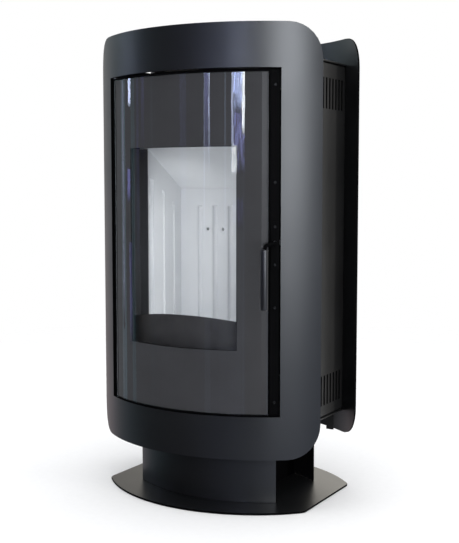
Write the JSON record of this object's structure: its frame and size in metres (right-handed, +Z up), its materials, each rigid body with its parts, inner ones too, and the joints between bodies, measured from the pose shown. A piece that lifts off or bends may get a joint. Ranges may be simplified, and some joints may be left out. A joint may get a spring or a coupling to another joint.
{
  "type": "wood burning stove",
  "caption": "Tall freestanding stove on a pedestal, with bowed front and rear sheets, a bowed glass door, slotted sides and a board-lined firebox.",
  "frame": {"origin": "on the floor, under the centre of the stove's bounding box", "axes": "+Z up, -Y out of the glass door, +X to the right of someone facing the door"},
  "size_m": [0.6212, 0.4996, 1.13],
  "materials": {
    "panel_paint": "satin stove paint",
    "body_paint": "matt stove paint",
    "inner_steel": "matt heatproof black",
    "fire_board": "pale pressed fire board",
    "cast_iron": "rough casting",
    "zinc": "zinc plated",
    "matt_black": "matt black",
    "black_trim": "semi-gloss black",
    "fire_glass": "glass ceramic with a black printed border",
    "glass_rope": "braided glass fibre rope"
  },
  "bodies": {
    "stove": {"base_plate": "panel_paint", "pedestal_front_sheet": "panel_paint", "pedestal_rear_sheet": "panel_paint", "front_panel": "panel_paint", "rear_panel": "panel_paint", "pedestal_cap": "body_paint", "body_bottom_plate": "body_paint", "body_lid": "body_paint", "side_panel_left": "body_paint", "side_panel_right": "body_paint", "body_back_panel": "body_paint", "firebox_side_wall_left": "inner_steel", "firebox_side_wall_right": "inner_steel", "firebox_back_wall": "inner_steel", "firebox_floor": "inner_steel", "firebox_roof": "inner_steel", "firebox_front_frame": "inner_steel", "flue_collar": "inner_steel", "firebox_support_left": "inner_steel", "firebox_support_right": "inner_steel", "hearth_plate": "inner_steel", "upper_baffle": "inner_steel", "lining_retainer_left": "inner_steel", "lining_retainer_right": "inner_steel", "hinge_bracket_lower": "inner_steel", "hinge_bracket_upper": "inner_steel", "latch_keeper": "inner_steel", "side_lining_left": "fire_board", "side_lining_right": "fire_board", "back_lining": "fire_board", "floor_lining": "fire_board", "lower_baffle": "fire_board", "grate": "cast_iron", "log_guard": "cast_iron", "air_inlet_spigot": "zinc", "air_box": "zinc", "pedestal_column": "matt_black"},
    "door": {"door_frame": "matt_black", "door_glass": "fire_glass", "glass_seal": "glass_rope", "door_rope_seal": "glass_rope", "door_strip_left": "matt_black", "door_strip_right": "matt_black", "lock_plate": "matt_black", "strip_screw_1": "matt_black", "strip_screw_2": "matt_black", "strip_screw_3": "matt_black", "strip_screw_4": "matt_black", "lock_screw_1": "matt_black", "lock_screw_2": "matt_black", "hinge_pin_lower": "zinc", "hinge_pin_upper": "zinc"},
    "handle": {"handle_spindle": "zinc", "handle_arm": "black_trim", "handle_grip": "black_trim", "latch_tongue": "zinc"},
    "ash_pan": {"ash_pan": "inner_steel"},
    "air_slide": {"air_slide": "panel_paint"}
  },
  "joints": [
    {"name": "door_swing", "type": "hinge", "parent": "stove", "child": "door", "pos_m": [-0.2265, -0.16654, 0.63], "axis": [0, 0, -1], "range_deg": [0, 105]},
    {"name": "handle_turn", "type": "hinge", "parent": "door", "child": "handle", "pos_m": [0.22295, -0.17011, 0.634], "axis": [-0.5505, 0.8348, 0], "range_deg": [0, 60]},
    {"name": "ash_pan_slide", "type": "slide", "parent": "stove", "child": "ash_pan", "axis": [0, -1, 0], "range_m": [0, 0.06]},
    {"name": "air_control", "type": "slide", "parent": "stove", "child": "air_slide", "axis": [0, -1, 0], "range_m": [0, 0.096]}
  ]
}
